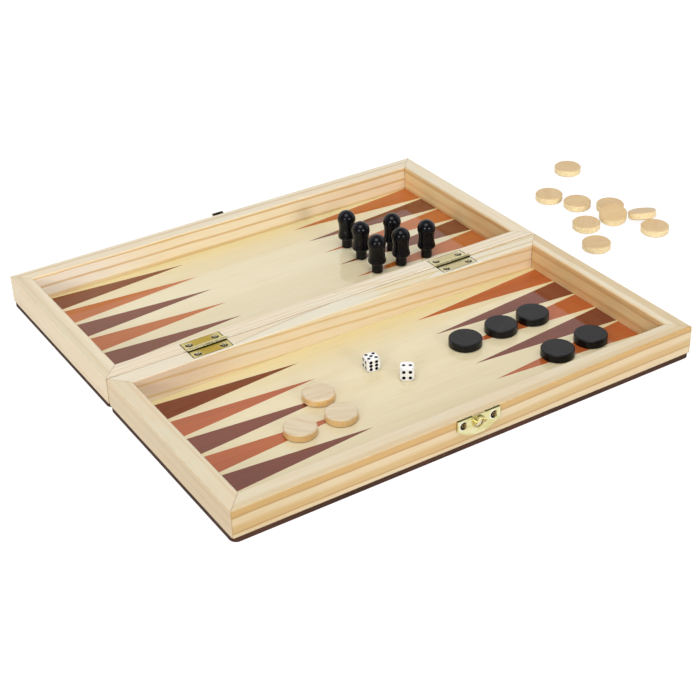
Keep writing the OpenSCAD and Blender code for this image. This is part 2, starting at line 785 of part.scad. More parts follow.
color(black_stain) black_draught(0);  // black_draught_1
color(black_stain) black_draught(1);  // black_draught_2
color(black_stain) black_draught(2);  // black_draught_3
color(black_stain) black_draught(3);  // black_draught_4
color(black_stain) black_draught(4);  // black_draught_5
color(bare_wood) pale_draught(0);  // pale_draught_1
color(bare_wood) pale_draught(1);  // pale_draught_2
color(bare_wood) pale_draught(2);  // pale_draught_3
color(bare_wood) lying_draught(0);  // loose_draught_1
color(bare_wood) lying_draught(1);  // loose_draught_2
color(bare_wood) lying_draught(2);  // loose_draught_3
color(bare_wood) lying_draught(3);  // loose_draught_4
color(bare_wood) lying_draught(4);  // loose_draught_5
color(bare_wood) leaning_draught(0);  // loose_draught_6
color(bare_wood) leaning_draught(1);  // loose_draught_7
color(bare_wood) lying_draught(5);  // loose_draught_8
color(bare_wood) lying_draught(6);  // loose_draught_9
color(black_stain) standing_pawn(0);  // black_pawn_1
color(black_stain) standing_pawn(1);  // black_pawn_2
color(black_stain) standing_pawn(2);  // black_pawn_3
color(black_stain) standing_pawn(3);  // black_pawn_4
color(black_stain) standing_pawn(4);  // black_pawn_5
color(black_stain) standing_pawn(5);  // black_pawn_6
color(ivory) die_place(0) die(die_counts[0]);  // die_1
color(black_stain) die_place(0) die_pips(die_counts[0]);  // die_1_pips
color(ivory) die_place(1) die(die_counts[1]);  // die_2
color(black_stain) die_place(1) die_pips(die_counts[1]);  // die_2_pips
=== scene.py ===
import bpy
import math
from mathutils import Matrix, Vector


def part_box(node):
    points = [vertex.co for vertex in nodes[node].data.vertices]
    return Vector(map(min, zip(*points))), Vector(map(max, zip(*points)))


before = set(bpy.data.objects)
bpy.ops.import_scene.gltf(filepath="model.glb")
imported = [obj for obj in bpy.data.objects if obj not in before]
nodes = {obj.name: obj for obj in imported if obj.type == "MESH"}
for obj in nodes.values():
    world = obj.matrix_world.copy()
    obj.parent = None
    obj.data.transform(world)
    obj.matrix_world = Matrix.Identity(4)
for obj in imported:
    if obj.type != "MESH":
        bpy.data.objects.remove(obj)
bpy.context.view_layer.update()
scene = bpy.context.scene
scene.view_settings.view_transform = "Standard"


def middle(name):
    """Centre of a node's box at rest."""
    low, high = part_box(name)
    return [(a + b) / 2 for a, b in zip(low, high)]


# Sizes of the trays in metres. The hinge line runs along x, and the front tray lies on its -y side.
outer_low, outer_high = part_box("front_outer_rail")
inner_low, inner_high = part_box("front_hinge_rail")
left_low, left_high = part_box("front_left_rail")
HALF_L = -left_low[0]  # half the length of both trays
DEPTH = -outer_low[1]  # from the hinge line to the outer face of either tray
HEIGHT = outer_high[2]  # from the table to the tops of the rails
RAIL = outer_high[1] - outer_low[1]  # width of an outer rail
HINGE_RAIL = inner_high[1] - inner_low[1]  # width of a rail by the hinge line
SIDE = left_high[0] - left_low[0]  # width of a side rail
SEAM = -inner_high[1]  # half the gap between the trays

# Catch, hinges and their screws, in metres
LOCK_X = middle("catch_plate")[0]
CATCH_DEPTH = 0.0013  # how far the face of the plate stands off the rail
COLLAR_R = 0.0039
WINDOW_R = 0.0031
WINDOW_Z = 0.0143  # height of the middle of the window
MOUTH_R = 0.00235  # radius of the sunk mouth around a catch screw
CATCH_SCREW = (0.00955, 0.0154)  # distance of both screws from LOCK_X, and their height
leaf_low, leaf_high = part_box("left_hinge_front_leaf")
HINGE_AT = [middle(side + "_hinge_front_leaf")[0] for side in ("left", "right")]
HINGE_HALF = (leaf_high[0] - leaf_low[0]) / 2
LEAF = -leaf_low[1]  # from the hinge line to the far edge of a leaf
BARREL_R = 0.0014
HINGE_HEAD_R = 0.0021
HINGE_SCREW = (0.0081, 0.0054)  # distance of a screw from the middle of its hinge, and from the hinge line

die_low, die_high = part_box("die_1")
DIE_HALF = (die_high[2] - die_low[2]) / 2
DIE_TURN = (-11.0, -34.0)  # degrees each die is turned on the tray's floor

MM = 1000.0  # millimetres in a metre
TOP = HEIGHT * MM

WHITE = (1.0, 1.0, 1.0)


class Maker:
    """Adds shader nodes to one material or world and links them."""

    def __init__(self, owner):
        owner.use_nodes = True
        self.owner = owner
        self.tree = owner.node_tree
        self.tree.nodes.clear()

    def put(self, socket, value):
        """Link another node's output to the input, or set a constant on it, where a colour needs no alpha."""
        if value is None:
            return
        if isinstance(value, bpy.types.NodeSocket):
            self.tree.links.new(value, socket)
        elif isinstance(value, (tuple, list)) and len(value) == 3 and len(socket.default_value) == 4:
            socket.default_value = (*value, 1.0)
        else:
            socket.default_value = value

    def node(self, kind, inputs=None, **settings):
        """New node with its settings, and with its inputs given by name or by number."""
        made = self.tree.nodes.new(kind)
        for key, value in settings.items():
            setattr(made, key, value)
        for key, value in (inputs or {}).items():
            self.put(made.inputs[key], value)
        return made

    def math(self, op, a, b=None, c=None):
        return self.node("ShaderNodeMath", {0: a, 1: b, 2: c}, operation=op).outputs[0]

    def vector(self, op, a, b=None):
        made = self.node("ShaderNodeVectorMath", {0: a, 1: b}, operation=op)
        return made.outputs["Value" if op in ("LENGTH", "DOT_PRODUCT") else "Vector"]

    def split(self, vec):
        return self.node("ShaderNodeSeparateXYZ", {0: vec}).outputs

    def join(self, x, y, z):
        return self.node("ShaderNodeCombineXYZ", {0: x, 1: y, 2: z}).outputs[0]

    def place(self):
        """Where the point lies on the object at rest, in metres."""
        return self.node("ShaderNodeTexCoord").outputs["Object"]

    def upward(self):
        """How far the surface looks up when the object is at rest, from -1 to 1."""
        return self.split(self.node("ShaderNodeTexCoord").outputs["Normal"])[2]

    def hollow(self, distance):
        """Falls from 1 towards 0 where other surfaces are nearer than the distance."""
        return self.node("ShaderNodeAmbientOcclusion", {"Distance": distance}, samples=8).outputs["AO"]

    def rounded(self, radius, samples):
        """Normals as they are where the edges are rounded off."""
        return self.node("ShaderNodeBevel", {"Radius": radius}, samples=samples).outputs[0]

    def noise(self, vec, scale, detail=3.0, rough=0.5, distortion=0.0):
        made = self.node("ShaderNodeTexNoise", {"Vector": vec, "Scale": scale, "Detail": detail,
                                                "Roughness": rough, "Distortion": distortion})
        return made.outputs["Fac"]

    def turned(self, vec, angle):
        """The vector turned about the vertical by an angle in radians."""
        made = self.node("ShaderNodeVectorRotate", {"Vector": vec, "Angle": angle}, rotation_type="Z_AXIS")
        return made.outputs[0]

    def ramp(self, fac, stops):
        """Tone at fac, from pairs of a place between 0 and 1 and a tone."""
        made = self.node("ShaderNodeValToRGB")
        elements = made.color_ramp.elements
        while len(elements) < len(stops):
            elements.new(1.0)
        for element, (position, tone) in zip(elements, stops):
            element.position = position
            element.color = (*tone, 1.0)
        self.put(made.inputs[0], fac)
        return made.outputs[0]

    def mix(self, fac, a, b, blend="MIX"):
        """Goes from a to b, or with MULTIPLY from a to a times b, as fac goes from 0 to 1."""
        made = self.node("ShaderNodeMix", {"Factor": fac, 6: a, 7: b}, data_type="RGBA", blend_type=blend)
        return made.outputs[2]

    def range(self, value, a, b, c=0.0, d=1.0, smooth=True):
        """Goes from c to d as the value goes from a to b, and stays level outside them."""
        kind = "SMOOTHSTEP" if smooth else "LINEAR"
        made = self.node("ShaderNodeMapRange", {0: value, 1: a, 2: b, 3: c, 4: d}, interpolation_type=kind)
        return made.outputs[0]

    def bump(self, height, strength, distance, normal=None):
        made = self.node("ShaderNodeBump", {"Height": height, "Strength": strength, "Distance": distance,
                                            "Normal": normal})
        return made.outputs[0]

    def finish(self, colour, rough, normal=None, **others):
        """Surface of the material; others names more inputs of it, with _ for a space."""
        made = self.node("ShaderNodeBsdfPrincipled", {"Base Color": colour, "Roughness": rough,
                                                      "Normal": normal})
        for key, value in others.items():
            self.put(made.inputs[key.replace("_", " ")], value)
        self.node("ShaderNodeOutputMaterial", {0: made.outputs[0]})
        return self.owner


def material(name):
    return Maker(bpy.data.materials.new(name))


def times(colour, tone):
    return tuple(a * b for a, b in zip(colour, tone))


def along(m, axis, p, stretch):
    """The place with its part along one axis pressed together, so that noise comes out long that way."""
    return m.vector("MULTIPLY", p, [stretch if letter == axis else 1.0 for letter in "xyz"])


DRAWN_REACH = 20.0  # a drawn line stays within so many millimetres of the hinge line


def draw_line(m, colour, run, across, over, points, half, tone, amount, tint):
    """A single ring through points (run, across), with a tint on the wood on its +y side."""
    first, length = points[0][0], points[-1][0] - points[0][0]
    way = m.math("MULTIPLY_ADD", run, 1.0 / length, -first / length)
    stops = [((x - first) / length, ((y + DRAWN_REACH) / (2 * DRAWN_REACH),) * 3) for x, y in points]
    level = m.math("MULTIPLY_ADD", m.ramp(way, stops), 2 * DRAWN_REACH, -DRAWN_REACH)
    off = m.math("SUBTRACT", across, level)
    there = m.math("MULTIPLY", m.range(way, 0.0, 0.04), m.range(way, 0.92, 1.0, 1.0, 0.0))
    there = m.math("MULTIPLY", there, over)
    if tint is not None:
        above = m.math("MULTIPLY", m.range(off, 0.0, 0.2), there)
        colour = m.mix(above, colour, tint, "MULTIPLY")
    near = m.range(m.math("ABSOLUTE", off), half * 0.4, half, amount, 0.0)
    return m.mix(m.math("MULTIPLY", near, there), colour, tone)


def mitre_lines_and_seam_shade(m, s):
    """A hairline at each mitre, only where the two rails meet, and painted shade along the gap where the two
    trays meet.
    """
    x = m.math("SUBTRACT", HALF_L, m.math("ABSOLUTE", s[0]))
    y = m.math("ABSOLUTE", s[1])
    outer = m.math("SUBTRACT", m.math("MULTIPLY", x, RAIL / SIDE), m.math("SUBTRACT", DEPTH, y))
    inner = m.math("SUBTRACT", m.math("MULTIPLY", x, HINGE_RAIL / SIDE), m.math("SUBTRACT", y, SEAM))
    gap = m.math("MINIMUM", m.math("ABSOLUTE", outer), m.math("ABSOLUTE", inner))
    corner = m.range(x, SIDE, SIDE + 0.0004, 1.0, 0.0)
    corner = m.math("MULTIPLY", corner, m.range(gap, 0.00006, 0.00028, 0.75, 0.0))
    return m.math("MAXIMUM", corner, m.range(y, 0.00020, 0.00045, 0.80, 0.0))


# The colours of a plank lie in this stretch, in millimetres from the table
LOWEST = -8.0
SPAN = 48.0


def plank(name, axis, face, bands, climb=0.0, bend=None, wander=0.5, painted_light_spans=(), top=None, seed=1.0,
          window=False, bare=None, lines=(), grain=1.3):
    """Softwood rail whose growth rings run along it and turn over its edge onto the top.

    bands names the colours by millimetres from the table, up the side at face and on across the top.
    climb is how far the rings rise for each millimetre along, bend lifts them between two places,
    and wander is how far they stray. The painted light spans paint light and shade onto the side
    between two places each, top tints the top, and window paints light onto the wood that shows
    through the catch, where the collar's shade would fall. bare names the place past which the top
    has no rings, with its tone, and lines are single rings drawn across the top: points, half width,
    tone, amount, tint beside it. grain is how strongly the fine fibre shows.
    """
    m = material(name)
    place = m.place()
    s = m.split(place)
    run = m.math("MULTIPLY", s["xyz".index(axis)], MM)
    across = s[1 if axis == "x" else 0]
    depth = m.math("MULTIPLY", m.math("ADD", s[2], m.math("SUBTRACT", across, face)), MM)

    p = m.vector("ADD", place, (seed * 0.37, seed * 0.61, seed * 0.23))
    slow = m.math("SUBTRACT", m.noise(p, 17.0, 1.0, 0.4), 0.5)
    ripple = m.math("SUBTRACT", m.noise(along(m, axis, p, 0.16), 420.0, 2.0, 0.5), 0.5)
    fibre = m.noise(along(m, axis, p, 0.02), 2600.0, 3.0, 0.6)
    strand = m.noise(along(m, axis, p, 0.03), 1100.0, 3.0, 0.55)
    patch = m.noise(along(m, axis, p, 0.3), 60.0, 2.0, 0.5)
    fleck = m.noise(along(m, axis, p, 0.05), 1000.0, 2.0, 0.5)

    level = m.math("MULTIPLY_ADD", run, -climb, depth)
    level = m.math("MULTIPLY_ADD", slow, wander * 3.0, level)
    level = m.math("MULTIPLY_ADD", ripple, 0.55, level)
    level = m.math("MULTIPLY_ADD", m.math("SUBTRACT", strand, 0.5), 0.9, level)
    if bend is not None:
        level = m.math("SUBTRACT", level, m.range(run, bend[0], bend[1], 0.0, bend[2]))
    colour = m.ramp(m.math("MULTIPLY_ADD", level, 1.0 / SPAN, -LOWEST / SPAN),
                    [((mm - LOWEST) / SPAN, tone) for mm, tone in bands])

    side = m.range(depth, TOP - 0.5, TOP + 0.2, 1.0, 0.0)
    # Painted light and shade: the side is made lighter or darker between two places each
    for start, end, tint in painted_light_spans:
        colour = m.mix(m.math("MULTIPLY", m.range(run, start, end), side), colour, tint, "MULTIPLY")
    over = m.range(depth, TOP - 0.3, TOP + 0.2)
    if bare is not None:
        colour = m.mix(m.math("MULTIPLY", over, m.range(run, bare[0], bare[1])), colour, bare[2])
    if top is not None:
        colour = m.mix(over, colour, top, "MULTIPLY")
    for line in lines:
        colour = draw_line(m, colour, run, m.math("MULTIPLY", across, MM), over, *line)
    # Painted light: the wood seen through the catch's window is lightened where the collar's shade falls on
    # it
    if window:
        off = m.join(m.math("SUBTRACT", s[0], LOCK_X), m.math("SUBTRACT", s[2], WINDOW_Z), 0.0)
        hole = m.range(m.vector("LENGTH", off), WINDOW_R + 0.0001, WINDOW_R + 0.0003, 1.0, 0.0)
        hole = m.math("MULTIPLY", hole, m.range(depth, TOP - 2.2, TOP - 1.7, 1.0, 0.0))
        colour = m.mix(hole, colour, (0.93, 0.84, 0.60))

    colour = m.mix(m.range(patch, 0.36, 0.66, 0.0, 0.8), colour, (1.02, 0.97, 0.93), "MULTIPLY")
    colour = m.mix(m.range(fibre, 0.38, 0.72, 0.0, 0.55 * grain), colour, (0.93, 0.88, 0.80), "MULTIPLY")
    streak = m.range(strand, 0.52, 0.70, 0.0, 0.45 * (grain - 0.8))
    colour = m.mix(streak, colour, (0.86, 0.76, 0.62), "MULTIPLY")
    colour = m.mix(m.range(fleck, 0.66, 0.78, 0.0, 0.25), colour, (0.72, 0.58, 0.42), "MULTIPLY")
    # Dark mitre hairlines, and painted shade in the gap between the two trays
    colour = m.mix(mitre_lines_and_seam_shade(m, s), colour, (0.36, 0.20, 0.09))
    height = m.math("ADD", fibre, m.math("MULTIPLY", strand, 0.7))
    normal = m.bump(height, 0.20, 0.00008, m.rounded(0.0005, 4))
    return m.finish(colour, m.math("MULTIPLY_ADD", fibre, 0.16, 0.26), normal, Specular_IOR_Level=0.40)


# The tones of the pine, from its pale early wood to the thin late rings
IVORY = (0.660, 0.585, 0.430)
BUTTER = (0.625, 0.510, 0.330)
CREAM = (0.690, 0.565, 0.370)
OAT = (0.670, 0.527, 0.323)
BRAN = (0.606, 0.474, 0.287)
SAND = (0.600, 0.425, 0.200)
HONEY = (0.590, 0.380, 0.150)
RING = (0.490, 0.305, 0.125)
PEARL = (0.820, 0.685, 0.475)
PEACH = (0.790, 0.640, 0.425)
MILK = (0.860, 0.735, 0.530)
SHELL = (0.730, 0.660, 0.510)
SHELL_RING = (0.620, 0.490, 0.315)
SHELL_SOFT = (0.665, 0.560, 0.390)
STRAW = (0.720, 0.515, 0.245)
DARK_STRAW = (0.690, 0.465, 0.205)
TAN = (0.730, 0.490, 0.240)
FAWN = (0.770, 0.560, 0.290)
UMBER = (0.650, 0.390, 0.165)


def rings(places, pale, dark, width=0.45, lead=0.9, tail=1.6):
    """Thin late rings at the places given, each sharper below than above."""
    stops = []
    for mm in places:
        stops += [(mm - lead, pale), (mm - width / 2, dark), (mm + width / 2, dark), (mm + tail, pale)]
    return stops


LEFT_X = -HALF_L
RIGHT_X = HALF_L - SIDE
# The spans given as painted light spans in these entries are painted light and shade
planks = {
    "front_outer_rail": dict(
        axis="x", face=-DEPTH, seed=3.1, window=True, wander=0.25, bend=(-30.0, 120.0, 1.9),
        painted_light_spans=((-70.0, -130.0, (0.93, 0.92, 0.87)),), bands=[
            (3.0, CREAM), (4.9, CREAM), (5.4, RING), (5.8, RING), (6.4, SAND), (8.6, SAND), (11.2, CREAM),
            (14.1, CREAM), (14.6, RING), (15.1, RING), (15.7, HONEY), (18.4, HONEY), (19.5, BUTTER),
            (22.4, BUTTER), (24.0, IVORY), (33.0, IVORY)]),
    "front_hinge_rail": dict(
        axis="x", face=-SEAM - HINGE_RAIL, seed=7.7, climb=-0.045,
        painted_light_spans=((-66.0, -102.0, (0.93, 0.91, 0.96)),), top=(0.875, 0.98, 1.15), bare=(34.0, 4.0, PEARL),
        lines=[([(-72.5, -8.5), (-52.3, -5.3), (-34.2, -3.1), (-21.5, -2.0), (-2.0, -0.8)], 0.40,
                (0.43, 0.29, 0.15), 0.75, (0.99, 0.93, 0.87)),
               ([(24.0, -9.7), (41.5, -10.3), (51.7, -9.8), (68.0, -5.0)], 0.70,
                (0.70, 0.51, 0.26), 0.7, (1.0, 0.96, 0.86))],
        bands=[(-3.0, PEARL), *rings((0.6, 9.1, 15.2, 22.0, 28.0, 33.8), PEARL, STRAW, 0.5, 1.0, 1.3)]),
    "rear_hinge_rail": dict(
        axis="x", face=SEAM, seed=12.6, wander=0.4, climb=0.008, top=(1.01, 1.02, 1.07),
        lines=[([(2.0, 8.6), (18.6, 6.9), (32.7, 3.0), (44.8, 1.7), (60.0, 1.0)], 0.80,
                (0.66, 0.48, 0.24), 0.6, None)],
        bands=[(3.0, PEACH), (18.0, PEACH), (19.4, SHELL),
               *rings((21.2, 24.6, 28.2), SHELL, SHELL_SOFT, 0.3, 0.6, 0.9)]),
    "rear_outer_rail": dict(
        axis="x", face=DEPTH - RAIL, seed=9.2, wander=0.35, climb=-0.006,
        painted_light_spans=((-40.0, -100.0, (1.09, 1.19, 1.42)),), bands=[
            (3.0, STRAW), (4.3, STRAW), (5.6, MILK), *rings((11.2, 17.9), MILK, DARK_STRAW, 0.6, 0.9, 1.2),
            (19.3, PEARL), (20.6, SHELL), *rings((26.3,), SHELL, SHELL_RING, 0.9, 1.0, 1.2), (33.0, SHELL)]),
    "front_left_rail": dict(
        axis="y", face=LEFT_X, seed=1.4, wander=0.3,
        painted_light_spans=((-110.0, -25.0, (1.08, 1.09, 1.11)),), bands=[
            (3.0, OAT), (8.1, OAT), (8.9, SHELL_RING), (9.6, SHELL_RING), (10.3, OAT), (14.6, OAT),
            (15.3, BRAN), (16.2, BRAN), (17.0, OAT), (18.8, OAT), (19.6, IVORY), (26.2, IVORY),
            (27.1, SHELL_RING), (28.1, IVORY), (33.0, IVORY)]),
    "rear_left_rail": dict(
        axis="y", face=LEFT_X, seed=14.3, wander=0.3, bands=[
            (3.0, PEACH), (6.6, PEACH), (8.4, PEARL), (15.4, PEARL), (16.2, PEACH), (17.0, PEARL),
            (18.8, PEARL), (19.6, IVORY), (22.6, IVORY), (23.2, BUTTER), (23.9, IVORY), (27.0, SHELL),
            (33.0, SHELL)]),
    "front_right_rail": dict(
        axis="y", face=RIGHT_X, seed=5.9, grain=1.8,
        painted_light_spans=((-84.0, -100.0, (1.06, 1.10, 1.14)),), bands=[
            (3.0, TAN), (6.2, TAN), (7.0, UMBER), (7.8, UMBER), (9.6, FAWN), (14.2, FAWN), (15.4, UMBER),
            (16.2, UMBER), (17.2, TAN), (18.9, TAN), (19.5, CREAM), (21.0, SHELL), (22.6, SHELL),
            (24.2, BUTTER), (33.0, BUTTER)]),
    "rear_right_rail": dict(
        axis="y", face=RIGHT_X, seed=17.8, grain=1.8,
        painted_light_spans=((42.0, 74.0, (1.16, 1.28, 1.38)),), bands=[
            (3.2, UMBER), (4.2, UMBER), (5.4, FAWN), (7.6, FAWN), (8.8, TAN), (9.8, TAN), (11.6, FAWN),
            (15.0, FAWN), (16.5, UMBER), (17.2, UMBER), (18.4, TAN), (19.6, BUTTER), (20.8, SHELL),
            (33.0, SHELL)]),
}


def corner_shade(m):
    """Strongest in the corners along the rails, on the face of a panel that looks into the tray."""
    s = m.split(m.place())
    x = m.math("SUBTRACT", RIGHT_X, m.math("ABSOLUTE", s[0]))
    y = m.math("ABSOLUTE", s[1])
    y = m.math("MINIMUM", m.math("SUBTRACT", y, SEAM + HINGE_RAIL), m.math("SUBTRACT", DEPTH - RAIL, y))
    near = m.range(m.math("MINIMUM", x, y), 0.0, 0.018, 0.85, 0.0)
    return m.math("MULTIPLY", near, m.math("GREATER_THAN", m.upward(), 0.0))


def veneer(name, base, other, line, seed, edge=None):
    """Lacquered veneer: fine long fibres, a few soft figure bands and a wet-looking surface.

    edge is the stain on the cut edges of a panel; the panel also gets painted shade, yellower, in its corners
    along the rails.
    """
    m = material(name)
    p = m.vector("ADD", m.place(), (seed * 0.53, seed * 0.29, 0.0))
    long_fibre = m.noise(along(m, "x", p, 0.025), 1500.0, 4.0, 0.62)
    figure = m.noise(along(m, "x", p, 0.12), 46.0, 3.0, 0.5, 0.4)
    dashes = m.noise(along(m, "x", p, 0.06), 520.0, 2.0, 0.5)
    colour = m.mix(m.range(figure, 0.32, 0.72), base, other)
    colour = m.mix(m.range(long_fibre, 0.40, 0.80, 0.0, 0.42), colour, line)
    colour = m.mix(m.range(dashes, 0.62, 0.76, 0.0, 0.30), colour, line)
    rough, shine = 0.07, 0.5
    if edge is not None:
        # Painted shade: the floor is made darker and yellower near the rails
        colour = m.mix(corner_shade(m), colour, (0.965, 0.925, 0.70), "MULTIPLY")
        wear = m.noise(p, 420.0, 4.0, 0.7)
        rub = m.noise(along(m, "x", p, 0.2), 160.0, 3.0, 0.6)
        band = m.mix(m.range(rub, 0.40, 0.70), edge, (0.085, 0.036, 0.024))
        band = m.mix(m.range(wear, 0.60, 0.74, 0.0, 0.7), band, (0.24, 0.13, 0.085))
        flat = m.range(m.math("ABSOLUTE", m.upward()), 0.35, 0.65)
        colour = m.mix(flat, band, colour)
        rough = m.range(flat, 0.0, 1.0, 0.62, rough, smooth=False)
        shine = m.range(flat, 0.0, 1.0, 0.10, shine, smooth=False)
    return m.finish(colour, rough, m.bump(long_fibre, 0.05, 0.00006), Specular_IOR_Level=shine)


# Which way the painted light and shade round a screw lie: along x and z on the catch, along x and y on the
# hinges
CATCH_LEAN = (-0.97, 0.10)
HINGE_LEAN = (-0.30, -0.95)


def around(m, x, half, other, lean):
    """Distance from the nearer of two screws that stand half to either side, and its part along lean."""
    x = m.math("SUBTRACT", x, m.math("MULTIPLY", m.math("SIGN", x), half))
    part = m.math("MULTIPLY_ADD", x, lean[0], m.math("MULTIPLY", other, lean[1]))
    return m.vector("LENGTH", m.join(x, other, 0.0)), part


def around_catch_screws(m, s):
    """As around, for the two screws of the catch."""
    x = m.math("SUBTRACT", s[0], LOCK_X)
    return around(m, x, CATCH_SCREW[0], m.math("SUBTRACT", s[2], CATCH_SCREW[1]), CATCH_LEAN)


def around_hinge_screws(m, s, x):
    """As around, for the four screws of a hinge; x is measured from the middle of the hinge."""
    side = m.math("MULTIPLY", m.math("SIGN", s[1]), HINGE_SCREW[1])
    return around(m, x, HINGE_SCREW[0], m.math("SUBTRACT", s[1], side), HINGE_LEAN)


def catch_painted_light(m, s, colour):
    """Painted light on the catch: a yellower collar (painted reflection), a bright rim (painted highlight)
    and a black cone (painted shade) at each screw mouth, a dark green upper lip (painted reflection) and a
    dark underside (painted shade).
    """
    out = m.math("SUBTRACT", -DEPTH - CATCH_DEPTH, s[1])
    # Painted reflection: the proud collar is yellower
    colour = m.mix(m.range(out, 0.00002, 0.00012), colour, (0.83, 0.72, 0.33))
    mouth, left = around_catch_screws(m, s)
    # Painted highlight round each screw mouth, and painted shade in its cone
    ring = m.math("MULTIPLY", m.range(mouth, MOUTH_R - 0.00005, MOUTH_R + 0.00005),
                  m.range(mouth, MOUTH_R + 0.00025, MOUTH_R + 0.00065, 1.0, 0.0))
    ring = m.math("MULTIPLY", ring, m.range(left, -0.0010, 0.0010))
    colour = m.mix(m.math("MULTIPLY", ring, 0.9), colour, (0.97, 0.95, 0.84))
    cone = m.range(mouth, MOUTH_R - 0.00015, MOUTH_R, 0.95, 0.0)
    cone = m.math("MULTIPLY", cone, m.range(left, -0.0004, 0.0004))
    colour = m.mix(cone, colour, (0.010, 0.008, 0.005))
    # Painted reflection on the upper lip, and painted shade on the underside
    facing = m.upward()
    wide = m.math("ABSOLUTE", m.math("SUBTRACT", s[0], LOCK_X))
    lip = m.math("MULTIPLY", m.range(facing, 0.6, 0.85), m.range(wide, COLLAR_R - 0.0003, COLLAR_R + 0.0003))
    colour = m.mix(lip, colour, (0.090, 0.105, 0.030))
    return m.mix(m.range(facing, -0.2, -0.6, 0.0, 0.8), colour, (0.20, 0.15, 0.04))


def brass(name, seed, rough, catch=False, blacken_above_pin=False):
    """Thin plated brass, greenish yellow: a little cloudy, and darker in its corners with painted shade.

    catch adds the painted light of the catch, and the flag after it blackens what stands above the hasp's
    pin.
    """
    m = material(name)
    place = m.place()
    p = m.vector("ADD", place, (seed, seed * 0.7, seed * 0.4))
    cloud = m.noise(p, 260.0, 3.0, 0.6)
    spots = m.noise(p, 1500.0, 3.0, 0.6)
    colour = m.mix(m.range(cloud, 0.36, 0.66), (0.77, 0.72, 0.43), (0.68, 0.61, 0.28))
    colour = m.mix(m.range(spots, 0.62, 0.76, 0.0, 0.35), colour, (0.40, 0.34, 0.12))
    # Painted shade: darker where other surfaces are near, in corners and creases
    colour = m.mix(m.range(m.hollow(0.0008), 0.25, 0.80, 0.95, 0.0), colour, (0.060, 0.048, 0.012))
    s = m.split(place)
    if catch:
        colour = catch_painted_light(m, s, colour)
    if blacken_above_pin:
        # Makes what stands above the hasp's pin nearly black
        high = m.range(s[2], HEIGHT - 0.0014, HEIGHT - 0.0004, 0.0, 0.97)
        colour = m.mix(high, colour, (0.045, 0.028, 0.012))
    height = m.math("ADD", cloud, m.math("MULTIPLY", spots, 0.3))
    normal = m.bump(height, 0.20, 0.00010, m.rounded(0.00025, 6))
    return m.finish(colour, m.range(cloud, 0.3, 0.7, rough, rough + 0.12), normal, Metallic=1.0)


def hinge_metal(name, centre, leaf, ends, seed):
    """Butt hinge: brushed leaves with a dark outline of painted shade, and a barrel painted pale above as
    painted highlight and dark in front as painted shade.

    leaf is the tone by the middle of the hinge and ends the tone towards both its ends; both tones are
    painted reflection.
    """
    m = material(name)
    place = m.place()
    s = m.split(place)
    x = m.math("SUBTRACT", s[0], centre)
    out = m.math("ABSOLUTE", x)
    deep = m.math("ABSOLUTE", s[1])
    front_tray = m.math("LESS_THAN", s[1], 0.0)
    p = m.vector("ADD", place, (seed, seed * 0.7, seed * 0.4))
    cloud = m.noise(along(m, "x", p, 0.5), 330.0, 3.0, 0.6)
    brush = m.noise(along(m, "x", p, 0.08), 1500.0, 3.0, 0.6)
    colour = m.mix(m.range(m.math("MULTIPLY_ADD", cloud, 0.008, out), 0.008, 0.016), leaf, ends)
    colour = m.mix(m.range(brush, 0.45, 0.75, 0.0, 0.6), colour, (0.80, 0.74, 0.55), "MULTIPLY")

    # Painted shade: a dark outline round the leaf, a dark band on the front leaf beside the barrel, and dark
    # rings by the screws
    rim = m.math("MAXIMUM", m.range(out, HINGE_HALF - 0.0008, HINGE_HALF - 0.0002, 0.0, 0.9),
                 m.range(deep, LEAF - 0.0005, LEAF - 0.0001, 0.0, 0.7))
    shade = m.math("MULTIPLY", m.range(s[1], -BARREL_R - 0.0010, -BARREL_R - 0.0001, 0.0, 0.85), front_tray)
    away, low = around_hinge_screws(m, s, x)
    ring = m.range(away, HINGE_HEAD_R + 0.0002, HINGE_HEAD_R + 0.0005, 0.9, 0.0)
    ring = m.math("MULTIPLY", ring, m.range(low, 0.0, 0.0010))
    dark = m.math("MAXIMUM", m.math("MAXIMUM", rim, shade), ring)
    # Painted highlight: the barrel is pale; painted shade: its lower front is dark
    barrel = m.range(deep, BARREL_R + 0.00002, BARREL_R + 0.00010, 1.0, 0.0)
    front = m.math("MULTIPLY", m.range(s[2], HEIGHT + 0.00045, HEIGHT + 0.00085, 0.97, 0.0), front_tray)
    colour = m.mix(barrel, colour, (0.78, 0.70, 0.38))
    colour = m.mix(m.mix(barrel, dark, front), colour, (0.035, 0.024, 0.006))
    return m.finish(colour, m.range(cloud, 0.3, 0.7, 0.24, 0.38), m.bump(brush, 0.08, 0.00006), Metallic=0.85)


def screw_metal(name, where, light):
    """Screw heads, each with painted shade: a black middle, and a black crescent on the side turned away from
    the light.

    where is "catch" or "hinge". With None, as on the hasp, the heads have neither.
    """
    m = material(name)
    place = m.place()
    s = m.split(place)
    cloud = m.noise(place, 700.0, 4.0, 0.62)
    colour = m.mix(m.range(cloud, 0.44, 0.70, 0.0, 0.7), light, (0.45, 0.36, 0.24), "MULTIPLY")
    if where is not None:
        if where == "catch":
            away, low = around_catch_screws(m, s)
            reach = -0.0007
        else:
            on_left = m.math("LESS_THAN", s[0], 0.0)
            x = m.math("MULTIPLY_ADD", on_left, HINGE_AT[1] - HINGE_AT[0], s[0])
            away, low = around_hinge_screws(m, s, m.math("SUBTRACT", x, HINGE_AT[1]))
            reach = -0.0002
        # Painted shade: a black crescent on the side away from the light, and a black middle
        crescent = m.math("MULTIPLY", m.range(low, reach - 0.0006, reach + 0.0002),
                          m.range(away, 0.0009, 0.0012, 0.0, 0.98))
        colour = m.mix(crescent, colour, (0.005, 0.004, 0.003))
        colour = m.mix(m.range(away, 0.0003, 0.0006, 0.9, 0.0), colour, (0.010, 0.008, 0.005))
    # Painted shade where other surfaces are near
    colour = m.mix(m.range(m.hollow(0.0005), 0.30, 0.75, 0.9, 0.0), colour, (0.012, 0.009, 0.006))
    return m.finish(colour, m.range(cloud, 0.3, 0.7, 0.30, 0.45), m.bump(cloud, 0.2, 0.00008), Metallic=0.8)


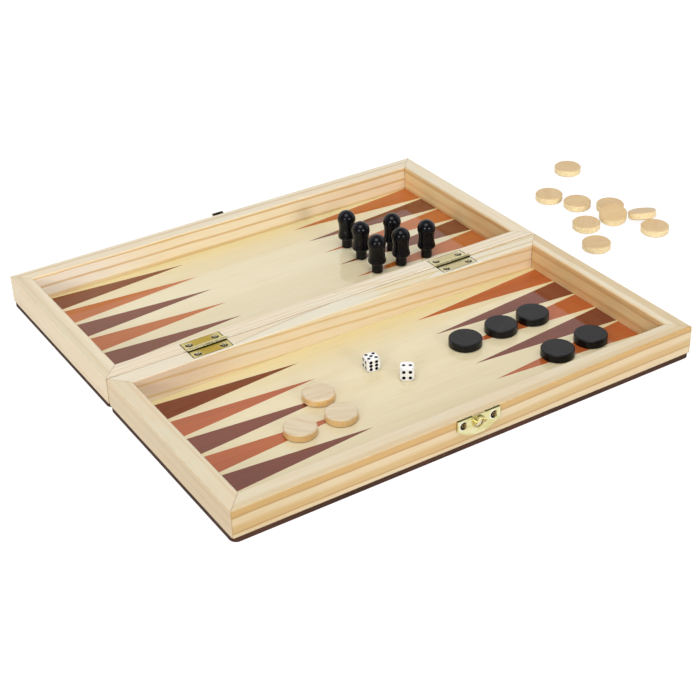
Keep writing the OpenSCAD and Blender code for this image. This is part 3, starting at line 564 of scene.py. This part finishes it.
def turned_wood(name, base, line, rim, centre, angle, seed, strength, rough=0.42, gloss=0.4):
    """A disc sliced from a dowel: straight grain over both faces, and the rim tone's end grain round it."""
    m = material(name)
    local = m.turned(m.vector("SUBTRACT", m.place(), centre), angle)
    p = m.vector("ADD", local, (seed * 0.071, seed * 0.113, seed * 0.047))
    bands = m.noise(along(m, "x", p, 0.10), 300.0, 3.0, 0.55, 0.3)
    fibre = m.noise(along(m, "x", p, 0.05), 1900.0, 3.0, 0.6)
    colour = m.mix(m.range(bands, 0.35, 0.70, 0.0, strength), base, line)
    colour = m.mix(m.range(fibre, 0.45, 0.78, 0.0, strength * 0.45), colour, times(line, (0.8, 0.7, 0.6)))
    end_grain = m.mix(m.range(m.noise(p, 700.0, 3.0, 0.6), 0.35, 0.7), rim, m.mix(0.6, rim, base))
    colour = m.mix(m.range(m.math("ABSOLUTE", m.upward()), 0.25, 0.6), end_grain, colour)
    rough = m.math("MULTIPLY_ADD", fibre, 0.12, rough - 0.06)
    return m.finish(colour, rough, m.bump(fibre, 0.12, 0.00008), Specular_IOR_Level=gloss)


def black_gloss(name, seed):
    """Thick black varnish over turned wood, a little uneven."""
    m = material(name)
    p = m.vector("ADD", m.place(), (seed, seed * 0.3, 0.0))
    cloud = m.noise(p, 260.0, 3.0, 0.5)
    fine = m.noise(p, 1700.0, 3.0, 0.6)
    colour = m.mix(m.range(cloud, 0.3, 0.7), (0.003, 0.003, 0.004), (0.006, 0.006, 0.009))
    height = m.math("ADD", m.math("MULTIPLY", cloud, 0.7), m.math("MULTIPLY", fine, 0.10))
    normal = m.bump(height, 0.10, 0.00020)
    return m.finish(colour, m.range(fine, 0.3, 0.7, 0.16, 0.24), normal, Specular_IOR_Level=0.22)


def die_plastic(name, centre, turn, seed):
    """White plastic, with the black paint of the spots on their walls and a little over their rims."""
    m = material(name)
    place = m.place()
    cloud = m.noise(m.vector("ADD", place, (seed, seed, 0.0)), 600.0, 3.0, 0.5)
    colour = m.mix(m.range(cloud, 0.3, 0.7), (0.86, 0.86, 0.86), (0.83, 0.83, 0.82))
    local = m.turned(m.vector("SUBTRACT", place, centre), -turn)
    x, y, z = m.split(m.vector("ABSOLUTE", local))
    largest = m.math("MAXIMUM", m.math("MAXIMUM", x, y), z)
    least = m.math("MINIMUM", m.math("MINIMUM", x, y), z)
    second = m.math("SUBTRACT", m.math("ADD", m.math("ADD", x, y), z), m.math("ADD", largest, least))
    on_face = m.range(second, DIE_HALF - 0.0008, DIE_HALF - 0.0006, 1.0, 0.0)
    inside = m.node("ShaderNodeAmbientOcclusion", {"Distance": 0.00009}, samples=16, inside=True,
                    only_local=True)
    rim = m.math("MULTIPLY", m.range(inside.outputs["AO"], 0.96, 0.80), on_face)
    wall = m.math("MULTIPLY", m.math("LESS_THAN", largest, DIE_HALF - 0.00008), on_face)
    painted = m.math("MAXIMUM", rim, wall)
    colour = m.mix(painted, colour, (0.010, 0.010, 0.011))
    normal = m.bump(cloud, 0.05, 0.00006, m.rounded(0.0004, 6))
    return m.finish(colour, 0.22, normal, Specular_IOR_Level=m.range(painted, 0.0, 1.0, 0.5, 0.05))


def pip_paint(name):
    """Dull black paint at the bottom of a die's spots."""
    m = material(name)
    cloud = m.noise(m.place(), 1500.0, 3.0, 0.5)
    colour = m.mix(m.range(cloud, 0.3, 0.7), (0.006, 0.006, 0.007), (0.014, 0.014, 0.016))
    rough = m.range(cloud, 0.3, 0.7, 0.65, 0.80)
    return m.finish(colour, rough, m.bump(cloud, 0.1, 0.00005), Specular_IOR_Level=0.0)


def dress(name, made):
    """Give every face of a CAD node the material."""
    mesh = nodes[name].data
    mesh.materials.clear()
    mesh.materials.append(made)
    for polygon in mesh.polygons:
        polygon.material_index = 0


for name, settings in planks.items():
    dress(name, plank("pine " + name, **settings))

# Panels and what is let into them: a base tone, another, the tone of the fibres, and a seed
EDGE_STAIN = (0.052, 0.024, 0.014)
panels = {
    "front": ((0.725, 0.640, 0.430), (0.700, 0.600, 0.380), (0.620, 0.500, 0.300), 2.0),
    "rear": ((0.745, 0.670, 0.465), (0.720, 0.625, 0.410), (0.640, 0.520, 0.320), 6.0),
}
inlays = {
    "points_brown": (3.0, (0.190, 0.043, 0.016), (0.160, 0.034, 0.013), (0.095, 0.022, 0.011)),
    "points_orange": (8.0, (0.445, 0.107, 0.024), (0.390, 0.088, 0.019), (0.265, 0.057, 0.014)),
    "chess_squares": (11.0, (0.190, 0.058, 0.028), (0.160, 0.046, 0.022), (0.100, 0.028, 0.015)),
}
# Painted light: the rear tray's inlays are made lighter, since the light falls brighter on the rear tray
inlay_painted_light = {"front": WHITE, "rear": (1.10, 1.32, 1.08)}
for side, settings in panels.items():
    dress(side + "_panel", veneer("floor veneer " + side, *settings, edge=EDGE_STAIN))
for part, (seed, *tones) in inlays.items():
    for i, side in enumerate(("front", "rear")):
        lit = [times(tone, inlay_painted_light[side]) for tone in tones]
        dress(side + "_" + part, veneer("%s veneer %s" % (part, side), *lit, seed + i))

# Brass: the tones of each hinge by its middle and towards its ends, as painted reflection, with a seed, then
# the catch and the hasp
hinges = {
    "left": (HINGE_AT[0], (0.51, 0.36, 0.050), (0.72, 0.61, 0.25), 1.0),
    "right": (HINGE_AT[1], (0.62, 0.53, 0.29), (0.78, 0.70, 0.46), 2.3),
}
for side, settings in hinges.items():
    metal = hinge_metal("brass hinge " + side, *settings)
    for part in ("front_leaf", "rear_leaf", "pin"):
        dress("%s_hinge_%s" % (side, part), metal)
dress("catch_plate", brass("brass catch", 4.0, 0.22, catch=True))
hasp_brass = brass("brass hasp", 6.0, 0.30, blacken_above_pin=True)
for name in ("hasp_plate", "hasp_flap", "hasp_pin"):
    dress(name, hasp_brass)
dress("catch_screws", screw_metal("catch screw", "catch", (0.34, 0.22, 0.08)))
dress("hasp_screws", screw_metal("hasp screw", None, (0.36, 0.26, 0.12)))
hinge_screw = screw_metal("hinge screw", "hinge", (0.76, 0.68, 0.42))
for name in ("hinge_screws_front", "hinge_screws_rear"):
    dress(name, hinge_screw)

# Draughts of three kinds, with the grain of each turned another way, then the pawns and the dice
for i in range(1, 6):
    name = "black_draught_%d" % i
    dress(name, turned_wood(
        "black stain %d" % i, (0.010, 0.010, 0.012), (0.022, 0.021, 0.025), (0.002, 0.002, 0.002),
        middle(name), angle=0.6 + i, seed=20.0 + i, strength=0.5, rough=0.34, gloss=0.20))
for i in range(1, 4):
    name = "pale_draught_%d" % i
    dress(name, turned_wood(
        "pale turned %d" % i, (0.670, 0.570, 0.405), (0.600, 0.460, 0.305), (0.780, 0.480, 0.165),
        middle(name), angle=-0.3 + 0.4 * i, seed=30.0 + i, strength=0.85))
for i in range(1, 10):
    name = "loose_draught_%d" % i
    dress(name, turned_wood(
        "loose turned %d" % i, (0.655, 0.480, 0.255), (0.610, 0.400, 0.205), (0.890, 0.725, 0.418),
        middle(name), angle=1.1 * i, seed=40.0 + i, strength=0.75))
for i in range(1, 7):
    dress("black_pawn_%d" % i, black_gloss("black varnish %d" % i, 3.0 * i))
for i, turn in enumerate(DIE_TURN, 1):
    name = "die_%d" % i
    dress(name, die_plastic("die white %d" % i, middle(name), math.radians(turn), 5.0 * i))
    dress(name + "_pips", pip_paint("pip black %d" % i))


FLOOR_HALF = 6.0
FLOOR_Z = -0.0002


def make_floor():
    """Floor: white to the camera and in reflections, an ordinary pale surface to everything else."""
    mesh = bpy.data.meshes.new("floor")
    s = FLOOR_HALF
    mesh.from_pydata([(-s, -s, 0), (s, -s, 0), (s, s, 0), (-s, s, 0)], [], [(0, 1, 2, 3)])
    floor = bpy.data.objects.new("floor", mesh)
    floor.location.z = FLOOR_Z
    scene.collection.objects.link(floor)
    m = material("white table")
    path = m.node("ShaderNodeLightPath").outputs
    seen = m.math("MAXIMUM", path["Is Camera Ray"], path["Is Glossy Ray"])
    seen = m.math("MAXIMUM", seen, path["Is Transmission Ray"])
    plain = m.node("ShaderNodeBsdfDiffuse", {"Color": (0.80, 0.80, 0.79)})
    faint = m.node("ShaderNodeBsdfDiffuse", {"Color": (0.16, 0.16, 0.16)})
    white = m.node("ShaderNodeEmission", {"Color": WHITE, "Strength": 0.92})
    both = m.node("ShaderNodeAddShader", {0: faint.outputs[0], 1: white.outputs[0]})
    mixed = m.node("ShaderNodeMixShader", {0: seen, 1: plain.outputs[0], 2: both.outputs[0]})
    m.node("ShaderNodeOutputMaterial", {0: mixed.outputs[0]})
    mesh.materials.append(m.owner)


make_floor()

BEHIND = (0.516, 0.857, 0.0)  # the way from the camera towards the white sweep


def make_world():
    """World: an even soft light, and in reflections a white sweep behind the object and a dim room."""
    m = Maker(bpy.data.worlds.new("studio"))
    scene.world = m.owner
    direction = m.node("ShaderNodeTexCoord").outputs["Generated"]
    back = m.range(m.vector("DOT_PRODUCT", direction, BEHIND), -0.15, 0.30)
    low = m.range(m.split(direction)[2], 0.70, 0.92, 1.0, 0.0)
    sweep = m.range(m.math("MULTIPLY", back, low), 0.0, 1.0, 0.10, 0.95, smooth=False)
    path = m.node("ShaderNodeLightPath").outputs
    soft = m.node("ShaderNodeBackground", {"Color": (1.0, 0.99, 0.97), "Strength": 0.56})
    mirror = m.node("ShaderNodeBackground", {"Color": WHITE, "Strength": sweep})
    white = m.node("ShaderNodeBackground", {"Color": WHITE, "Strength": 1.0})
    lit = m.node("ShaderNodeMixShader", {0: path["Is Glossy Ray"], 1: soft.outputs[0], 2: mirror.outputs[0]})
    clear = m.math("MAXIMUM", path["Is Camera Ray"], path["Is Transmission Ray"])
    shown = m.node("ShaderNodeMixShader", {0: clear, 1: lit.outputs[0], 2: white.outputs[0]})
    m.node("ShaderNodeOutputWorld", {0: shown.outputs[0]})


make_world()

AIM = Vector((0.03, 0.0, 0.0))  # the lamps point at this place on the board


def softbox(name, azimuth, elevation, distance, size, power):
    """Square lamp aimed at the board; azimuth 0 stands on the -Y side."""
    a, e = math.radians(azimuth), math.radians(elevation)
    place = Vector((math.sin(a) * math.cos(e), -math.cos(a) * math.cos(e), math.sin(e))) * distance
    lamp = bpy.data.lights.new(name, "AREA")
    lamp.shape = "SQUARE"
    lamp.size = size
    lamp.energy = power
    obj = bpy.data.objects.new(name, lamp)
    obj.location = place + AIM
    obj.rotation_euler = (-place).to_track_quat("-Z", "Y").to_euler()
    scene.collection.objects.link(obj)


softbox("left box", -56, 20, 3.4, 0.60, 24.0)
softbox("right box", 4, 18, 3.4, 0.60, 30.0)
softbox("top box", -40, 74, 1.5, 0.90, 11.0)

# Camera, worked out from the corners of both trays in the photograph. Angles are in radians.
CAMERA_AT = (-0.37905, -0.63655, 0.44230)
AZIMUTH = -0.5463  # anticlockwise from +y
BELOW_LEVEL = 0.5527
ROLL = -0.0365
SENSOR = 36.0
LENS = 76.035


def make_camera():
    """Camera at the photograph's viewpoint."""
    ahead = Vector((-math.sin(AZIMUTH) * math.cos(BELOW_LEVEL), math.cos(AZIMUTH) * math.cos(BELOW_LEVEL),
                    -math.sin(BELOW_LEVEL)))
    right = Vector((math.cos(AZIMUTH), math.sin(AZIMUTH), 0.0))
    over = right.cross(ahead)
    x = right * math.cos(ROLL) + over * math.sin(ROLL)
    y = over * math.cos(ROLL) - right * math.sin(ROLL)
    cam = bpy.data.cameras.new("camera")
    cam.sensor_fit = "HORIZONTAL"
    cam.sensor_width = SENSOR
    cam.lens = LENS
    cam.clip_start = 0.01
    cam.clip_end = 50.0
    obj = bpy.data.objects.new("camera", cam)
    rows = [(x[i], y[i], -ahead[i]) for i in range(3)]
    obj.matrix_world = Matrix.Translation(CAMERA_AT) @ Matrix(rows).to_4x4()
    scene.collection.objects.link(obj)
    scene.camera = obj


make_camera()
